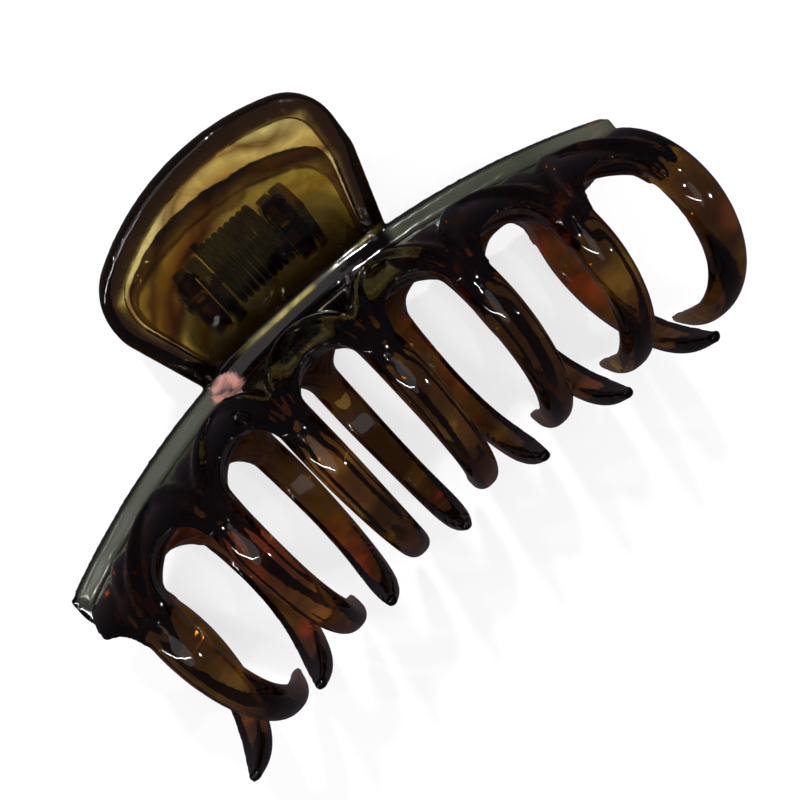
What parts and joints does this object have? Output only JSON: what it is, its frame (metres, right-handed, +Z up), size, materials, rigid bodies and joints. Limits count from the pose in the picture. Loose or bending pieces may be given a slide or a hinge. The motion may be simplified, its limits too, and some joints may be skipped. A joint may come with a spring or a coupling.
{
  "type": "hair claw clip",
  "caption": "Arched claw clip for hair: two interlacing toothed jaws with squeeze handles on a sprung hinge, in translucent tortoiseshell plastic.",
  "frame": {"origin": "bottom centre of the closed clip's box, on the surface it lies on", "axes": "+X along the hinge and the row of teeth, +Y from the teeth towards the handles, +Z up as the clip lies on a table"},
  "size_m": [0.103, 0.07, 0.0451],
  "materials": {
    "tortoiseshell_front": "translucent, polished",
    "tortoiseshell_back": "translucent, polished",
    "pin_steel": "drawn wire",
    "spring_steel": "dark spring wire"
  },
  "bodies": {
    "back": {"back_half": "tortoiseshell_back", "hinge_pin": "pin_steel", "torsion_spring": "spring_steel"},
    "front": {"front_half": "tortoiseshell_front"}
  },
  "joints": [
    {"name": "jaw_hinge", "type": "hinge", "parent": "back", "child": "front", "pos_m": [0, 0.01965, 0.0172], "axis": [-1, 0, 0], "range_deg": [0, 50], "stiffness_Nm_per_rad": 0.055, "springref_deg": -40.11, "deforming": ["torsion_spring"]}
  ]
}
